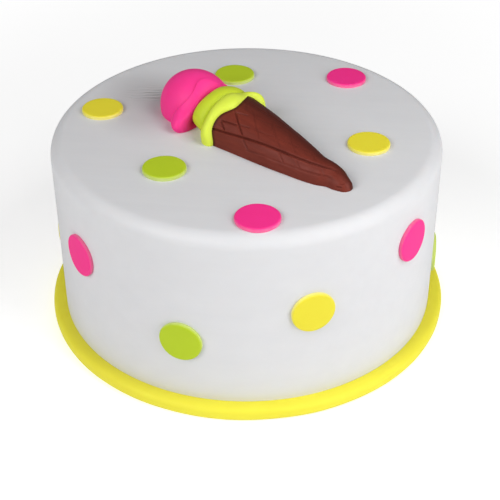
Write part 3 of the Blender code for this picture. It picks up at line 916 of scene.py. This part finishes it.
# The lip: where its crease and its end lie, how far it bulges, leans and fills out, and its
# flat end, as shares of the ball, with the undercut at its front foot
LIP_CREASE = (0.0231, ((0.0040, 82.0, 20.0), (0.0082, 0.0, 32.0), (-0.0034, 114.0, 13.0),
                       (0.0050, 180.0, 30.0)))
LIP_SHORT = (0.0, ((-0.0005, 0.0, 14.0), (0.0020, 180.0, 20.0)))
LIP_BULGE = (0.0016, ((0.0012, 84.0, 26.0), (0.0074, 0.0, 20.0), (0.0030, 180.0, 25.0)))
LIP_LEAN = (1.1, ((0.5, 0.0, 22.0),))
LIP_FULLNESS = 0.7
LIP_FACE = (0.74, 0.68)
LIP_FACE_TURN = (75.0, 120.0)
LIP_FOOT = (0.0, ((0.20, 0.0, 14.0), (-0.04, 74.0, 24.0)))
UNDERCUT = (0.0, ((0.0036, 0.0, 14.0),))
UNDERCUT_FACE = 0.55


def pink_skin(share, side):
    """The pink scoop: the ball, the lip and its flat end."""
    turn = math.radians(side)
    bare = min(abs(side), 360.0 - abs(side))
    crease = -waved(LIP_CREASE, bare)
    crease_turn = math.acos((BALL_PLACE[0] - crease) / BALL_RADII[0])
    end = MEETING - waved(LIP_SHORT, bare)
    behind = clamp((bare - LIP_FACE_TURN[0]) / (LIP_FACE_TURN[1] - LIP_FACE_TURN[0]))
    face = mix(*LIP_FACE, behind) + waved(LIP_FOOT, bare)
    under, neck = end - waved(UNDERCUT, bare), face * UNDERCUT_FACE
    bulge = 0.0
    number, part = stretch(share, PINK_ROWS)
    if number == 0:
        x = BALL_PLACE[0] - BALL_RADII[0] * math.cos(crease_turn * part)
        size = math.sin(crease_turn * part)
    elif number == 1:
        x, size = roll((crease, math.sin(crease_turn)), (end, face), 0.0, part)
        swell = clamp(math.sin(math.pi * part ** waved(LIP_LEAN, bare))) ** LIP_FULLNESS
        bulge = waved(LIP_BULGE, bare) * swell
    elif number == 2:
        x, size = mix(end, under, part), mix(face, neck, part)
    elif number == 3:
        x, size = mix(under, MEETING, part), mix(neck, UNDERCUT_FACE * LIP_FACE[1], part)
    else:
        x, size = MEETING, UNDERCUT_FACE * LIP_FACE[1] * (1.0 - part)
    across = BALL_RADII[1] * size + bulge
    up = BALL_RADII[2] * size + bulge
    return Vector((x, BALL_PLACE[1] - across * math.cos(turn), BALL_PLACE[2] + up * math.sin(turn)))


pink_paste = paste("pink scoop paste", (0.990, 0.045, 0.303), (0.909, 0.035, 0.242), roughness=0.48,
                   mottle=0.6, streaks=0.2, grain=0.015, gloss=0.2, subsurface=0.15, radius=PINK_DEPTH)
bm = modelled(pink_skin, BALL_COLUMNS, PINK_ROWS, ALL_ROUND)
pink_scoop = finished(bm, "pink_scoop", pink_paste)
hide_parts("scoop_pink")

# THE FLOOR AND THE LIGHT
# A plain white floor, and soft light: a large lamp in front on the left, another low on the
# right with a small one close above it, and an even white surround. What the camera sees of
# them is lifted towards white, and of the floor the more, the farther it is from the cake.
FLOOR_SIZE = 20.0
FLOOR_WHITE = 0.92
FLOOR_ROUGHNESS = 0.9
FLOOR_LIFT = (0.40, 0.78)
LIFT_SPAN = (0.25, 1.00)
SURROUND = 0.137
SURROUND_LIFT = 0.75

# Each lamp: its angle from the front towards the right, how high it stands in degrees, its
# distance, its size and its power. They all aim at one place inside the cake.
LAMPS = {
    "left_lamp": (-50.0, 35.0, 1.5, 0.8, 13.5),
    "low_right_lamp": (50.0, 12.0, 1.5, 0.8, 9.7),
    "near_right_lamp": (60.0, 50.0, 0.75, 0.4, 2.57),
}
LAMP_AIM = Vector((0.0, 0.0, 0.09))


def seen_lift(nodes, links, amount):
    """An amount of light that only the camera sees, so that it lights nothing."""
    seen_by_camera = nodes.new('ShaderNodeLightPath').outputs["Is Camera Ray"]
    return math_node(nodes, links, 'MULTIPLY', seen_by_camera, amount)


floor_paint = bpy.data.materials.new("white floor")
floor_paint.use_nodes = True
nodes, links = floor_paint.node_tree.nodes, floor_paint.node_tree.links
shader = nodes["Principled BSDF"]
shader.inputs["Base Color"].default_value = (FLOOR_WHITE, FLOOR_WHITE, FLOOR_WHITE, 1.0)
shader.inputs["Roughness"].default_value = FLOOR_ROUGHNESS
shader.inputs["Emission Color"].default_value = (1.0, 1.0, 1.0, 1.0)
far_off = nodes.new('ShaderNodeVectorMath')
far_off.operation = 'LENGTH'
links.new(nodes.new('ShaderNodeTexCoord').outputs["Object"], far_off.inputs[0])
rising = nodes.new('ShaderNodeMapRange')
rising.interpolation_type = 'SMOOTHSTEP'
for end, value in zip(("From Min", "From Max", "To Min", "To Max"), (*LIFT_SPAN, *FLOOR_LIFT)):
    rising.inputs[end].default_value = value
links.new(far_off.outputs["Value"], rising.inputs["Value"])
links.new(seen_lift(nodes, links, rising.outputs["Result"]), shader.inputs["Emission Strength"])
bm = bmesh.new()
bmesh.ops.create_grid(bm, x_segments=1, y_segments=1, size=FLOOR_SIZE / 2)
floor_mesh = bpy.data.meshes.new("floor")
bm.to_mesh(floor_mesh)
bm.free()
floor_mesh.materials.append(floor_paint)
floor = bpy.data.objects.new("floor", floor_mesh)
scene.collection.objects.link(floor)

for name, (round_cake, up, far, size, power) in LAMPS.items():
    lamp = bpy.data.objects.new(name, bpy.data.lights.new(name, 'AREA'))
    lamp.data.shape = 'SQUARE'
    lamp.data.size = size
    lamp.data.energy = power
    turn, rise = math.radians(round_cake), math.radians(up)
    towards = Vector((math.sin(turn) * math.cos(rise), -math.cos(turn) * math.cos(rise), math.sin(rise)))
    lamp.location = LAMP_AIM + far * towards
    lamp.rotation_euler = (-towards).to_track_quat('-Z', 'Y').to_euler()
    scene.collection.objects.link(lamp)

surround = bpy.data.worlds.new("white surround")
surround.use_nodes = True
nodes, links = surround.node_tree.nodes, surround.node_tree.links
nodes["Background"].inputs["Color"].default_value = (1.0, 1.0, 1.0, 1.0)
strength = math_node(nodes, links, 'ADD', seen_lift(nodes, links, SURROUND_LIFT), SURROUND)
links.new(strength, nodes["Background"].inputs["Strength"])
scene.world = surround
scene.view_settings.view_transform = 'Standard'
